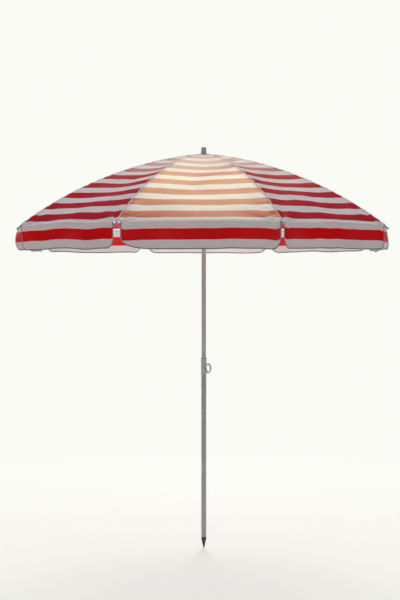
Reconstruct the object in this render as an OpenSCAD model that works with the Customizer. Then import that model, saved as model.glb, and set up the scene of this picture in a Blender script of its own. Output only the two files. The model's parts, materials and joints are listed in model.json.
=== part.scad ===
// Beach umbrella: eight curved ribs, a sliding runner with stretchers, a two-piece pole
// and a canopy of eight gores, each with a hanging valance flap. It stands open, along +Z,
// with the tip of its ground point at the origin. All sizes are in millimetres.

/* [Pole] */
// Outer diameter of the upper pole, which the runner slides on
upper_pole_d = 22; // [18:0.5:28]
// Wall of the upper pole
upper_pole_wall = 1.2; // [0.8:0.1:2.5]
// Length of the upper pole
upper_pole_len = 1260; // [1180:5:1600]
// Wall of the lower pole
lower_pole_wall = 1.2; // [0.8:0.1:2.5]
// Length of the lower pole, from the ground point's shoulder to its mouth
lower_pole_len = 883; // [700:5:1200]
// How far the upper pole stands inside the lower pole
pole_overlap = 250; // [200:5:400]
// Length of the ground point below the lower pole
point_len = 55; // [35:1:90]
// Length of the ground point's plug inside the lower pole
point_plug_len = 40; // [25:1:80]

/* [Pole joint] */
// Length of the collar around the lower pole's mouth
collar_len = 80; // [70:1:120]
// Wall of the collar
collar_wall = 1.7; // [1.2:0.1:4]
// How far the lower pole is necked in under the collar
collar_seat = 0.2; // [0.1:0.05:0.4]
// Height of the collar's lip over the mouth of the lower pole
collar_lip = 3; // [2:0.5:6]
// Distance of the eye screw below the mouth
eye_screw_depth = 45; // [35:1:55]
// Direction in which the eye screw points, from +X
eye_screw_angle = -58; // [-90:1:90]
// Thickness of the eye screw's rod
eye_rod_d = 8; // [6:0.5:10]
// Radius of the ring, to the middle of the rod
eye_ring_r = 21; // [15:0.5:26]

/* [Canopy] */
// Radius from the pole's axis to the ends of the ribs
canopy_r = 940; // [850:5:1150]
// Slope of the canopy at the crown, in degrees
crown_slope = 6.5; // [3:0.5:9]
// Slope of the canopy at the ends of the ribs, in degrees
rim_slope = 37.4; // [34:0.1:42]
// Turn of the canopy about the pole, in degrees
canopy_turn = -1.3; // [-22:0.1:22]
// Thickness of the fabric
fabric_t = 1.2; // [0.8:0.1:1.6]
// Sag of the fabric halfway along each gore
fabric_sag = 13; // [0:1:20]
// How far the ribs reach beyond the fabric
tip_reach = 15; // [10:1:40]
// Height of the valance flaps
flap_h = 114; // [80:1:180]
// Distance of each flap's ends from the ribs
flap_inset = 15; // [8:1:60]
// Radius of the flaps' lower corners
flap_corner_r = 45; // [10:1:75]

/* [Ribs and stretchers] */
// Thickness of the rib wire
rib_d = 4.5; // [4:0.1:5.5]
// Thickness of the stretcher rods
stretcher_d = 4.5; // [4:0.1:5.5]
// Radius at which each rib carries its stretcher
clip_at_r = 423; // [380:1:480]
// Distance of the stretcher's rivet below the rib
clip_drop = 10; // [9.5:0.5:14]
// Length of the clip on the rib
clip_len = 20; // [16:1:30]
// Length of the cap on the rib's end
tip_len = 26; // [20:1:35]
// Diameter of the pins and rivets that the ribs and stretchers turn on
pin_d = 3; // [2.5:0.1:3.6]
// Radius of the circle of pins in the crown and in the runner
pin_circle_r = 22; // [21:0.5:26]

/* [Crown and runner] */
// Radius of the crown hub and of the runner's flange
hub_r = 28; // [27:0.5:34]
// Height of the crown hub's slotted head
hub_head_h = 15; // [14:0.5:20]
// Height of the crown hub's skirt below its head
hub_skirt_h = 25; // [18:1:40]
// Distance of the crown pins below the top of the hub
crown_pin_depth = 5.5; // [5.2:0.1:7]
// Height of the cap above the canopy
cap_h = 31; // [20:1:45]
// Radius of the cap
cap_r = 12.5; // [9:0.5:15]
// Wall of the runner's sleeve
runner_wall = 3.2; // [2.4:0.1:4.5]
// Length of the runner's sleeve below its pins
runner_tail = 70; // [55:1:90]
// Distance of the lock screw below the runner's pins
knob_depth = 38; // [30:1:45]
// Diameter of the lock screw
knob_screw_d = 6; // [5:0.5:8]
// Radius of the lock screw's knob
knob_r = 12; // [10:0.5:16]

/* [Clearances] */
// Gap between the upper pole and what slides on it
slide_gap = 0.3; // [0.2:0.05:0.5]
// Gap between a pin and the part that turns on it
pin_gap = 0.08; // [0.05:0.01:0.1]
// Gap between pieces that are fixed in one another
fit_gap = 0.05; // [0.02:0.01:0.1]
// Gap on each side of a rod in its slot
side_gap = 0.4; // [0.3:0.05:0.6]
// Gap between the fabric's pieces, and between the fabric and the frame
fabric_gap = 0.4; // [0.3:0.05:0.6]

/* [Hidden] */
RIBS = 8;
function numbered(name) = [for (k = [1:RIBS]) str(name, "_", k)];
$fn = 48;
step = 360 / RIBS;
half_step = step / 2;
cut = 1;   // how far a cutting shape runs past the face that it opens

// Pole heights and radii
upper_r = upper_pole_d / 2;
bore_r = upper_r + slide_gap;
lower_r = bore_r + lower_pole_wall;
neck_r = lower_r - collar_seat;
mouth_z = point_len + lower_pole_len;
upper_foot_z = mouth_z - pole_overlap;
pole_top_z = upper_foot_z + upper_pole_len;
collar_r = neck_r + fit_gap + collar_wall;
collar_foot_z = mouth_z - collar_len + collar_lip;
eye_screw_z = mouth_z - eye_screw_depth;
eye_nut_r = eye_rod_d * 0.9;
eye_nut_h = 3;
eye_nut_face = collar_r + eye_nut_h;
eye_ring_x = eye_nut_face + side_gap + eye_rod_d / 2 + eye_ring_r;

// Crown: the pole ends under a thin skin, and the fabric lies on the hub
hub_skin = 2;
hub_top_z = pole_top_z + hub_skin;
crown_pin_z = hub_top_z - crown_pin_depth;
fabric_hole_r = 10;
fabric_seat = 2;   // how far beyond the hub's edge the fabric still lies flat
seat_r = (hub_r + fabric_seat) / cos(half_step);

// The canopy's profile is one arc, and each rib is the same arc a little lower
arc_r = canopy_r / (sin(rim_slope) - sin(crown_slope));
function slope_at(r) = asin(sin(crown_slope) + r / arc_r);
function drop_at(r) = arc_r * (cos(crown_slope) - cos(slope_at(r)));
hub_edge_drop = drop_at(seat_r) + fabric_t / 2 + fabric_gap;
apex_z = hub_top_z + hub_edge_drop;
rib_drop = apex_z - drop_at(pin_circle_r) - crown_pin_z;
function rib_z(r) = apex_z - drop_at(r) - rib_drop;
fabric_r = canopy_r - tip_reach;
hem_r = fabric_r * cos(half_step);
hem_z = apex_z - drop_at(fabric_r);

// Linkage: the two arms are equally long, so the runner moves straight along the pole
clip_slope = slope_at(clip_at_r);
rivet_x = clip_at_r - clip_drop * sin(clip_slope);
rivet_z = rib_z(clip_at_r) - clip_drop * cos(clip_slope);
arm_len = norm([rivet_x - pin_circle_r, crown_pin_z - rivet_z]);
arm_slope = atan2(crown_pin_z - rivet_z, rivet_x - pin_circle_r);
runner_pin_z = crown_pin_z - 2 * arm_len * sin(arm_slope);

pin_r = pin_d / 2;
pin_hold = 3.5;   // how far a pin reaches into the plastic on each side of its slot
eye_wall = 2.5;
eye_r = pin_r + eye_wall;
eye_w = 4;
slot_w = max(rib_d, stretcher_d) + 2 * side_gap;
slot_in = pin_circle_r - eye_r - side_gap;
cheek_t = 1.5;
tip_wall = 1.4;
tip_bulge = 0.8;
tip_bore_r = rib_d / 2 + 2 * fit_gap;
tip_ball_r = tip_bore_r + tip_wall + tip_bulge;
rib_end_r = canopy_r - tip_ball_r;

function rib_angle(k) = canopy_turn - 90 + half_step + (k - 1) * step;
function gore_angle(k) = rib_angle(k) + half_step;

// Turns a piece drawn over +X to a direction about the pole
module toward(angle) {
    rotate([0, 0, angle]) children();
}

// Sweeps a flat shape along a rib's arc, between two radii
module along_rib(r0, r1) {
    translate([-arc_r * sin(crown_slope), 0, apex_z - rib_drop - arc_r * cos(crown_slope)])
        rotate([90, 0, 0]) rotate([0, 0, 90 - slope_at(r1)])
            rotate_extrude(angle = slope_at(r1) - slope_at(r0), $fn = 360)
                translate([arc_r, 0]) children();
}

// Sets a piece on the rib at one radius, with +X along the rib and +Z away from it
module on_rib(r) {
    translate([r, 0, rib_z(r)]) rotate([0, slope_at(r), 0]) children();
}

// A disc or pin across the rib's plane
module cross_disc(x, z, r, w) {
    translate([x, 0, z]) rotate([90, 0, 0]) cylinder(r = r, h = w, center = true);
}

// A pin in every slot of the crown or of the runner
module pin_ring(z) {
    for (k = [1:RIBS]) toward(rib_angle(k)) cross_disc(pin_circle_r, z, pin_r, slot_w + 2 * pin_hold);
}

// The slots and pin holes of the crown or of the runner, open from z0 to z1
module slot_ring(pin_z, z0, z1) {
    for (k = [1:RIBS]) toward(rib_angle(k)) {
        translate([slot_in, -slot_w / 2, z0]) cube([hub_r, slot_w, z1 - z0]);
        cross_disc(pin_circle_r, pin_z, pin_r + fit_gap, slot_w + 2 * (pin_hold + fit_gap));
    }
}

module tube(outer, inner, z0, z1) {
    translate([0, 0, z0]) difference() {
        cylinder(r = outer, h = z1 - z0);
        translate([0, 0, -cut]) cylinder(r = inner, h = z1 - z0 + 2 * cut);
    }
}

// A round hole or rod that points away from the pole
module spoke(r, from, to) {
    translate([from, 0, 0]) rotate([0, 90, 0]) cylinder(r = r, h = to - from);
}

module lower_pole() {
    color("lightgray") difference() {
        union() {
            tube(lower_r, bore_r, point_len, collar_foot_z);
            tube(neck_r, bore_r, collar_foot_z - cut, mouth_z);
        }
        toward(eye_screw_angle) translate([0, 0, eye_screw_z])
            spoke(eye_rod_d / 2 + fit_gap * 2, 0, 2 * lower_r);
    }
}

module ground_point() {
    tip_r = 3;
    shoulder_h = 10;
    color("dimgray") {
        translate([0, 0, tip_r]) sphere(r = tip_r);
        translate([0, 0, tip_r])
            cylinder(r1 = tip_r, r2 = neck_r, h = point_len - shoulder_h - tip_r);
        translate([0, 0, point_len - shoulder_h]) cylinder(r = neck_r, h = shoulder_h);
        translate([0, 0, point_len]) cylinder(r = bore_r - fit_gap, h = point_plug_len);
    }
}

module pole_collar() {
    band_h = 6;
    band_step = 0.8;
    color("silver") difference() {
        union() {
            tube(collar_r, neck_r + fit_gap, collar_foot_z, mouth_z);
            tube(collar_r, bore_r, mouth_z, mouth_z + collar_lip);
            for (z = [collar_foot_z, mouth_z + collar_lip - band_h])
                tube(collar_r + band_step, neck_r + cut, z, z + band_h);
            toward(eye_screw_angle) translate([lower_r, 0, eye_screw_z]) rotate([0, 90, 0])
                cylinder(r = eye_nut_r, h = eye_nut_face - lower_r, $fn = 6);
        }
        toward(eye_screw_angle) translate([0, 0, eye_screw_z])
            spoke(eye_rod_d / 2 + fit_gap * 2, 0, eye_nut_face + cut);
    }
}

module eye_screw() {
    color("silver") toward(eye_screw_angle) translate([0, 0, eye_screw_z]) {
        spoke(eye_rod_d / 2, upper_r + slide_gap / 2, eye_ring_x - eye_ring_r);
        translate([eye_ring_x, 0, 0]) rotate([90, 0, 0])
            rotate_extrude() translate([eye_ring_r, 0]) circle(d = eye_rod_d, $fn = 32);
    }
}

module upper_pole() {
    color("gainsboro") difference() {
        tube(upper_r, upper_r - upper_pole_wall, upper_foot_z, pole_top_z);
        crown_rivet_hole();
    }
}

crown_rivet_r = 2;
crown_rivet_z = hub_top_z - hub_head_h - hub_skirt_h / 2;
skirt_r = upper_r + 4;

module crown_rivet_hole() {
    translate([0, 0, crown_rivet_z]) rotate([90, 0, canopy_turn])
        cylinder(r = crown_rivet_r + fit_gap, h = 4 * hub_r, center = true);
}

module crown_hub() {
    foot_z = hub_top_z - hub_head_h;
    color("dimgray") difference() {
        union() {
            translate([0, 0, foot_z]) cylinder(r = hub_r, h = hub_head_h);
            translate([0, 0, foot_z - hub_skirt_h]) cylinder(r = skirt_r, h = hub_skirt_h + cut);
        }
        translate([0, 0, foot_z - hub_skirt_h - cut])
            cylinder(r = upper_r + fit_gap, h = pole_top_z - foot_z + hub_skirt_h + cut);
        slot_ring(crown_pin_z, foot_z - cut, crown_pin_z + eye_r + side_gap);
        crown_rivet_hole();
    }
}

module crown_pins() {
    color("silver") pin_ring(crown_pin_z);
}

module crown_rivet() {
    head_h = 1.5;
    color("silver") translate([0, 0, crown_rivet_z]) rotate([90, 0, canopy_turn]) {
        cylinder(r = crown_rivet_r, h = 2 * (skirt_r + head_h), center = true);
        for (s = [-1, 1]) translate([0, 0, s * (skirt_r + fit_gap + head_h / 2)])
            cylinder(r = 2 * crown_rivet_r, h = head_h, center = true);
    }
}

module top_cap() {
    stem_r = fabric_hole_r - 2;
    rounding = 5;
    flange = 3;
    flange_h = 2.5;
    foot = 1.2;
    foot_h = 8;
    flange_z = apex_z + fabric_t;
    color("dimgray") rotate_extrude($fn = 64) {
        translate([0, hub_top_z]) square([stem_r, flange_z - hub_top_z + cut]);
        translate([0, flange_z]) square([cap_r + flange, flange_h]);
        translate([0, flange_z]) square([cap_r + foot, foot_h]);
        translate([0, flange_z]) square([cap_r, cap_h - rounding]);
        translate([0, flange_z]) square([cap_r - rounding, cap_h]);
        translate([cap_r - rounding, flange_z + cap_h - rounding]) circle(r = rounding, $fn = 32);
    }
}

runner_r = bore_r + runner_wall;
knob_boss_h = 6;

module runner() {
    neck_h = eye_r + 4;
    flange_down = eye_r + 4;
    flange_up = pin_r + 3;
    foot = 2;
    foot_h = 6;
    boss_wall = 4;
    color("dimgray") difference() {
        union() {
            translate([0, 0, runner_pin_z - runner_tail])
                cylinder(r = runner_r, h = runner_tail + neck_h);
            translate([0, 0, runner_pin_z - flange_down])
                cylinder(r = hub_r, h = flange_down + flange_up);
            translate([0, 0, runner_pin_z - runner_tail])
                cylinder(r = runner_r + foot, h = foot_h);
            toward(gore_angle(1)) translate([0, 0, runner_pin_z - knob_depth])
                spoke(knob_screw_d / 2 + boss_wall, upper_r, runner_r + knob_boss_h);
        }
        translate([0, 0, runner_pin_z - 2 * runner_tail])
            cylinder(r = bore_r, h = 4 * runner_tail);
        slot_ring(runner_pin_z, runner_pin_z - eye_r - side_gap, runner_pin_z + 4 * eye_r);
        toward(gore_angle(1)) translate([0, 0, runner_pin_z - knob_depth])
            spoke(knob_screw_d / 2 + pin_gap, 0, runner_r + knob_boss_h + cut);
    }
}

module runner_pins() {
    color("silver") pin_ring(runner_pin_z);
}

module runner_knob() {
    grips = 6;
    grip_r = 0.4 * knob_r;
    head_h = 9;
    head_x = runner_r + knob_boss_h + side_gap;
    color("black") toward(gore_angle(1)) translate([0, 0, runner_pin_z - knob_depth]) {
        spoke(knob_screw_d / 2, bore_r, head_x + cut);
        difference() {
            spoke(knob_r, head_x, head_x + head_h);
            for (g = [1:grips]) rotate([g * 360 / grips, 0, 0]) translate([0, 0, knob_r * 1.25])
                spoke(grip_r, head_x - cut, head_x + head_h + cut);
        }
    }
}

module rib(k) {
    color("gray") toward(rib_angle(k)) difference() {
        union() {
            along_rib(pin_circle_r, rib_end_r) circle(d = rib_d, $fn = 24);
            cross_disc(pin_circle_r, crown_pin_z, eye_r, eye_w);
        }
        cross_disc(pin_circle_r, crown_pin_z, pin_r + pin_gap, 2 * rib_d);
    }
}

module rib_tip(k) {
    half_len = tip_len / 2;
    mid_r = rib_end_r - half_len * cos(slope_at(rib_end_r));
    color("silver") toward(rib_angle(k)) on_rib(mid_r) difference() {
        union() {
            spoke(tip_bore_r + tip_wall, -half_len, half_len);
            translate([half_len, 0, 0]) sphere(r = tip_ball_r, $fn = 32);
        }
        spoke(tip_bore_r, -half_len - cut, half_len + fit_gap);
    }
}

module rib_clip(k) {
    half_reach = clip_len / 2 * cos(clip_slope);
    cheek_in = slot_w / 2;
    barrel_r = cheek_in + cheek_t + 0.4;
    rivet_head = 0.8;
    color("silver") toward(rib_angle(k)) {
        difference() {
            union() {
                along_rib(clip_at_r - half_reach, clip_at_r + half_reach)
                    circle(r = barrel_r, $fn = 24);
                on_rib(clip_at_r) for (s = [-1, 1]) {
                    translate([-eye_r, s * (cheek_in + cheek_t / 2) - cheek_t / 2, -clip_drop])
                        cube([2 * eye_r, cheek_t, clip_drop]);
                    translate([0, s * (cheek_in + cheek_t / 2), 0])
                        cross_disc(0, -clip_drop, eye_r, cheek_t);
                }
            }
            along_rib(clip_at_r - clip_len, clip_at_r + clip_len)
                circle(r = rib_d / 2 + fit_gap, $fn = 24);
        }
        cross_disc(rivet_x, rivet_z, pin_r, 2 * (cheek_in + cheek_t + rivet_head));
    }
}

module stretcher(k) {
    color("gray") toward(rib_angle(k))
        translate([pin_circle_r, 0, runner_pin_z]) rotate([0, -arm_slope, 0]) difference() {
            union() {
                spoke(stretcher_d / 2, 0, arm_len);
                for (x = [0, arm_len]) cross_disc(x, 0, eye_r, eye_w);
            }
            for (x = [0, arm_len]) cross_disc(x, 0, pin_r + pin_gap, 2 * stretcher_d);
        }
}

// One gore: straight across from rib to rib, curved along them, with a light sag between
module gore(k) {
    rows = 15;
    columns = 6;
    function free(i) = max(0, (i - 1) / (rows - 1));
    function row_r(i) = i == 0 ? fabric_hole_r : seat_r + (fabric_r - seat_r) * free(i);
    function across(j) = 2 * j / columns - 1;
    function sag(i, j) = fabric_sag * sin(180 * free(i)) * (1 - pow(across(j), 2));
    function place(i, j, lift) = [
        row_r(i) * cos(half_step),
        across(j) * (row_r(i) * sin(half_step) - fabric_gap / 2 / cos(half_step)),
        apex_z - drop_at(row_r(i)) - sag(i, j) + lift];
    side = (rows + 1) * (columns + 1);
    function at(i, j) = i * (columns + 1) + j;
    top = [for (i = [0:rows - 1], j = [0:columns - 1])
        [at(i, j), at(i, j + 1), at(i + 1, j + 1), at(i + 1, j)]];
    rim = concat(
        [for (j = [0:columns]) at(0, j)], [for (i = [1:rows]) at(i, columns)],
        [for (j = [columns - 1:-1:0]) at(rows, j)], [for (i = [rows - 1:-1:1]) at(i, 0)]);
    edge = [for (n = [0:len(rim) - 1]) let (a = rim[n], b = rim[(n + 1) % len(rim)])
        [b, a, a + side, b + side]];
    bottom = [for (f = top) [for (n = [3:-1:0]) f[n] + side]];
    color(k % 2 == 0 ? "crimson" : "firebrick") toward(gore_angle(k)) polyhedron(
        points = [for (lift = [1, -1] * fabric_t / 2, i = [0:rows], j = [0:columns])
            place(i, j, lift)],
        faces = concat(top, bottom, edge));
}

// One valance flap: hangs straight down from the hem, with round lower corners
module flap(k) {
    half_w = fabric_r * sin(half_step) - flap_inset;
    color("whitesmoke") toward(gore_angle(k))
        translate([hem_r - fabric_t / 2, 0, hem_z - fabric_t / 2 - fabric_gap])
            rotate([90, 0, 90]) linear_extrude(fabric_t) {
                translate([-half_w, -flap_h + flap_corner_r])
                    square([2 * half_w, flap_h - flap_corner_r]);
                translate([-half_w + flap_corner_r, -flap_h])
                    square([2 * (half_w - flap_corner_r), flap_h]);
                for (s = [-1, 1]) translate([s * (half_w - flap_corner_r), -flap_h + flap_corner_r])
                    circle(r = flap_corner_r, $fn = 64);
            }
}

lower_pole();
ground_point();
pole_collar();
eye_screw();
upper_pole();
crown_hub();
crown_pins();
crown_rivet();
top_cap();
runner();
runner_pins();
runner_knob();
for (k = [1:RIBS]) {
    rib(k);
    rib_tip(k);
    rib_clip(k);
    stretcher(k);
    gore(k);
    flap(k);
}
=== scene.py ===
# %% [markdown]
# # A striped beach umbrella
# The poles, ribs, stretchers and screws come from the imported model, which is loaded here as a
# frame that stays as it is. This lesson makes what is soft, which is the striped canopy with its
# seams and hanging valance, and it gives every surface a finish, a light and a place to stand.

# %% Load the frame
import json
import math
import bpy
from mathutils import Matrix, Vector, noise


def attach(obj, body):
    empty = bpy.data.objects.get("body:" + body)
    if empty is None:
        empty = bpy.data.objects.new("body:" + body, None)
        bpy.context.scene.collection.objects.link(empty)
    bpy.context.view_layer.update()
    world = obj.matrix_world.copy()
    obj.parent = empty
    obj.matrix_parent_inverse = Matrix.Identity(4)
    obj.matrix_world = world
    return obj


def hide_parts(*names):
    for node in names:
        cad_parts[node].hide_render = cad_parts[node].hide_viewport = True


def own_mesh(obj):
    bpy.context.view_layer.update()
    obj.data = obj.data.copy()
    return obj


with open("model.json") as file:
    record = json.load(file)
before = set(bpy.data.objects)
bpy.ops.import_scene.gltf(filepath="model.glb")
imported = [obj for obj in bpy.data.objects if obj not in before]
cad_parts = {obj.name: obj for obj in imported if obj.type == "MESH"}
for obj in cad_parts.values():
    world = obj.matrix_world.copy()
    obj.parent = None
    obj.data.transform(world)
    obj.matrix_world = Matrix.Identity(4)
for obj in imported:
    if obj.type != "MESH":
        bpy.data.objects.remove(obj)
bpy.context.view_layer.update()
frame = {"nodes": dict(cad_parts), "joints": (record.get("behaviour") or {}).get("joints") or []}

JOINTS = {joint["name"]: joint for joint in frame["joints"]}
RIBS = 8

# %% [markdown]
# ## The shape of the canopy
# A canopy is stretched over curved ribs. Along a rib the cloth follows one arc, and from rib to
# rib it runs straight across. The frame's joints say where the hem and the crown are, and one
# slope at the crown then settles the arc, so nothing has to be measured by eye.

# %% The arc that the cloth follows
HALF_STEP = math.pi / RIBS          # half the angle between two ribs
CROWN_SLOPE = math.radians(6.5)
CROWN_HOLE = 0.011                  # radius of the hole under the cap
HINGE_DROP = 0.002                  # the gores turn a little below the crown


def joint_place(name):
    return Vector(JOINTS[name]["pos_m"])


hem_middle = joint_place("flap_1_swing")
HEM_Z = hem_middle.z
HEM_R = hem_middle.xy.length / math.cos(HALF_STEP)
APEX_Z = joint_place("gore_1_fold").z + HINGE_DROP
END_SLOPE = 2 * math.atan2(APEX_Z - HEM_Z, HEM_R) - CROWN_SLOPE
ARC_R = HEM_R / (math.sin(END_SLOPE) - math.sin(CROWN_SLOPE))


def slope_at(radius):
    return math.asin(math.sin(CROWN_SLOPE) + radius / ARC_R)


def drop_at(radius):
    return ARC_R * (math.cos(CROWN_SLOPE) - math.cos(slope_at(radius)))


def gore_heading(k):
    """The direction from the pole to the middle of gore k."""
    hem = joint_place(f"flap_{k}_swing")
    return math.atan2(hem.y, hem.x)


print("hem radius", round(HEM_R, 4), "arc radius", round(ARC_R, 3), "end slope",
      round(math.degrees(END_SLOPE), 1))

# %% [markdown]
# ## Where the cloth really lies
# Real cloth isn't perfectly tight. It sags a little between the ribs, billows softly, puckers
# beside the seams where the thread pulls, and folds out from the corners that take the load. Each
# of these is a small height that is added to the arc, so that one function gives every point of
# the cloth, and the seams, the hem and the stitches can be laid on it exactly. A cloth simulation
# could make the folds too, but tight cloth on eight ribs shows little more than this.

# %% Heights of the folds
SAG = 0.013            # in the middle of a gore
BILLOW = 0.0075        # height of the soft billows
BILLOW_SIZE = 0.2
PUCKER = 0.0015        # height of the puckers beside a seam
PUCKER_PITCH = 0.036
PUCKER_REACH = 0.026
CORNER_FOLD = 0.0042   # height of the folds at a rib's end
CORNER_REACH = 0.13
CORNER_CALM = 0.03     # the thread holds the cloth flat this far from the seam
HEM_RIPPLE = 0.0028


def lift_at(k, radius, v):
    """How far the cloth of gore k lies off the plain arc, at v from -1 to 1 across."""
    half_width = radius * math.sin(HALF_STEP)
    down = (radius - CROWN_HOLE) / (HEM_R - CROWN_HOLE)
    free = 1 - v * v
    from_seam = half_width * (1 - abs(v))
    from_hem = (HEM_R - radius) * 1.1
    rib = k + 1 if v > 0 else k
    spot = Vector((v * half_width / BILLOW_SIZE + 7.3 * k, radius / BILLOW_SIZE, 0.4))
    lift = -SAG * math.sin(math.pi * down) * free
    lift += BILLOW * noise.noise(spot) * free
    lift += BILLOW * 0.3 * noise.noise(spot * 2.7) * free
    pucker_phase = math.tau * radius / PUCKER_PITCH + 1.9 * (rib % RIBS)
    lift += PUCKER * math.exp(-from_seam / PUCKER_REACH) * math.sin(pucker_phase)
    reach = math.hypot(from_hem, from_seam)
    fan = math.atan2(from_seam, from_hem + 0.01)
    hold = min(1.0, from_seam / CORNER_CALM)
    lift += CORNER_FOLD * hold * math.exp(-reach / CORNER_REACH) * math.sin(8 * fan + rib % RIBS)
    lift += HEM_RIPPLE * down ** 8 * free * math.sin(5.2 * v + 2.1 * k)
    return lift


print("sag in the middle of gore 1:", round(-lift_at(1, HEM_R / 2, 0.0) * 1000, 1), "mm")

# %% Points on the cloth
def cloth_point(k, radius, v, raise_by=0.0):
    heading = gore_heading(k)
    out, across = radius * math.cos(HALF_STEP), v * radius * math.sin(HALF_STEP)
    return Vector((
        out * math.cos(heading) - across * math.sin(heading),
        out * math.sin(heading) + across * math.cos(heading),
        APEX_Z - drop_at(radius) + lift_at(k, radius, v) + raise_by))


def cloth_frame(k, radius, v):
    """The point, and the directions across, down the gore and up off the cloth."""
    heading = gore_heading(k)
    across = Vector((-math.sin(heading), math.cos(heading), 0))
    step = 0.004
    point = cloth_point(k, radius, v)
    down = (cloth_point(k, radius, v) - cloth_point(k, radius - step, v)).normalized()
    up = down.cross(across).normalized()
    if up.z < 0:
        up = -up
    return point, across, down, up


print("middle of gore 1's hem:", [round(c, 3) for c in cloth_point(1, HEM_R, 0.0)])

# %% [markdown]
# ## Cutting and sewing tools
# Most of the sewn details are one of three things: a sheet on a grid, a strip that follows a line,
# such as a seam or a binding, and a row of stitches. A small class gathers their points and faces,
# so that all the trim of one gore becomes one piece. Each point also keeps its place on the flat
# cloth, in metres, because the printed stripes and the weave belong to the cloth and must not
# slide when it bends.

# %% A collector of points and faces
class Sewing:
    def __init__(self):
        self.points, self.faces, self.flat, self.finish = [], [], [], []

    def add(self, points, faces, flat=None, finish=0):
        start = len(self.points)
        self.points += [tuple(p) for p in points]
        self.faces += [tuple(start + n for n in face) for face in faces]
        self.flat += [tuple(f) for f in (flat or [(0.0, 0.0, 0.0)] * len(points))]
        self.finish += [finish] * len(faces)

    def piece(self, name, materials):
        mesh = bpy.data.meshes.new(name)
        mesh.from_pydata(self.points, [], self.faces)
        mesh.shade_smooth()
        for material in materials:
            mesh.materials.append(material)
        mesh.polygons.foreach_set("material_index", self.finish)
        flat = mesh.attributes.new("flat", "FLOAT_VECTOR", "POINT")
        flat.data.foreach_set("vector", [c for place in self.flat for c in place])
        mesh.validate()
        mesh.update()
        made = bpy.data.objects.new(name, mesh)
        bpy.context.scene.collection.objects.link(made)
        return made


def grid_faces(rows, columns):
    """Faces of a grid with rows x columns cells, its points listed row by row."""
    def at(i, j):
        return i * (columns + 1) + j
    return [(at(i, j), at(i, j + 1), at(i + 1, j + 1), at(i + 1, j))
            for i in range(rows) for j in range(columns)]


# %% A strip along a line
def strip(sewing, stations, profile, finish=0, flat_from=0.0):
    """Carries a closed profile of (sideways, up) pairs along stations of (point, side, up)."""
    count = len(profile)
    points, flat, run = [], [], 0.0
    for n, (point, side, up) in enumerate(stations):
        if n:
            run += (point - stations[n - 1][0]).length
        points += [point + side * a + up * b for a, b in profile]
        flat += [(run, flat_from + a, 0.0) for a, b in profile]
    faces = [(s * count + n, s * count + (n + 1) % count,
              (s + 1) * count + (n + 1) % count, (s + 1) * count + n)
             for s in range(len(stations) - 1) for n in range(count)]
    last = (len(stations) - 1) * count
    faces += [tuple(range(count - 1, -1, -1)), tuple(range(last, last + count))]
    sewing.add(points, faces, flat, finish)


def flat_band(width, thickness):
    """The profile of a folded band of cloth, with rounded edges."""
    edge = thickness * 0.45
    return [(0, 0), (width, 0), (width + edge * 0.4, thickness * 0.5), (width - edge, thickness),
            (edge, thickness), (-edge * 0.4, thickness * 0.5)]


# %% A row of stitches
STITCH = 0.0048
STITCH_PITCH = 0.0078
THREAD = 0.0005
STITCH_INSET = 0.002    # from the edge of the band that a row holds down
ON_CLOTH = 0.0002       # how far a row stands off the cloth


def stitch_row(sewing, stations, finish, raise_by=0.0):
    """Lays short threads along stations of (point, side, up), a fixed pitch apart."""
    gone = STITCH_PITCH / 2
    for (here, side, up), (there, _, _) in zip(stations, stations[1:]):
        length = (there - here).length
        along = (there - here).normalized()
        while gone < length:
            middle = here + along * gone + up * raise_by
            ends = [middle + along * STITCH / 2 * e - up * THREAD * 0.6 for e in (-1, 1)]
            ring = [middle + along * STITCH * 0.3 * e + side * THREAD * a + up * THREAD * b
                    for e in (-1, 1) for a, b in ((1, 0), (0, 1.2), (-1, 0))]
            faces = [(0, 2, 3), (0, 3, 4), (5, 1, 6), (6, 1, 7), (2, 5, 6, 3), (3, 6, 7, 4)]
            sewing.add(ends + ring, faces, finish=finish)
            gone += STITCH_PITCH
        gone -= length


# %% [markdown]
# ## Node tools
# A material is a small network. These helpers add one node at a time, join it up and give back
# the socket to go on from, which keeps the recipes below short enough to read.

# %% Helpers for shader networks
def put(tree, socket, value):
    if isinstance(value, bpy.types.NodeSocket):
        tree.links.new(value, socket)
    else:
        socket.default_value = value


def add_node(tree, kind, inputs=None, **settings):
    made = tree.nodes.new(kind)
    for key, value in settings.items():
        setattr(made, key, value)
    for socket, value in (inputs or {}).items():
        put(tree, made.inputs[socket], value)
    return made


def calc(tree, operation, *values, clamp=False):
    inputs = dict(enumerate(values))
    return add_node(tree, "ShaderNodeMath", inputs, operation=operation, use_clamp=clamp).outputs[0]


def mix_colour(tree, share, first, second, blend="MIX"):
    inputs = {0: share, 6: first, 7: second}
    made = add_node(tree, "ShaderNodeMix", inputs, data_type="RGBA", blend_type=blend)
    return made.outputs[2]


def new_group(name, inputs, outputs):
    """An empty shader group with its named sockets; gives the tree, its inputs and its outputs."""
    group = bpy.data.node_groups.new(name, "ShaderNodeTree")
    for label, kind, value in inputs:
        socket = group.interface.new_socket(label, in_out="INPUT", socket_type=kind)
        socket.default_value = value
    for label, kind in outputs:
        group.interface.new_socket(label, in_out="OUTPUT", socket_type=kind)
    start, end = group.nodes.new("NodeGroupInput"), group.nodes.new("NodeGroupOutput")
    return group, start.outputs, end.inputs


def use_group(tree, group, **inputs):
    made = add_node(tree, "ShaderNodeGroup", node_tree=group)
    for label, value in inputs.items():
        put(tree, made.inputs[label.replace("_", " ")], value)
    return made.outputs


def new_material(name):
    """A material with one Principled shader; gives the material, its tree and the shader."""
    material = bpy.data.materials.new(name)
    material.use_nodes = True
    tree = material.node_tree
    tree.nodes.clear()
    shader = tree.nodes.new("ShaderNodeBsdfPrincipled")
    end = tree.nodes.new("ShaderNodeOutputMaterial")
    tree.links.new(shader.outputs[0], end.inputs["Surface"])
    return material, tree, shader


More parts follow.
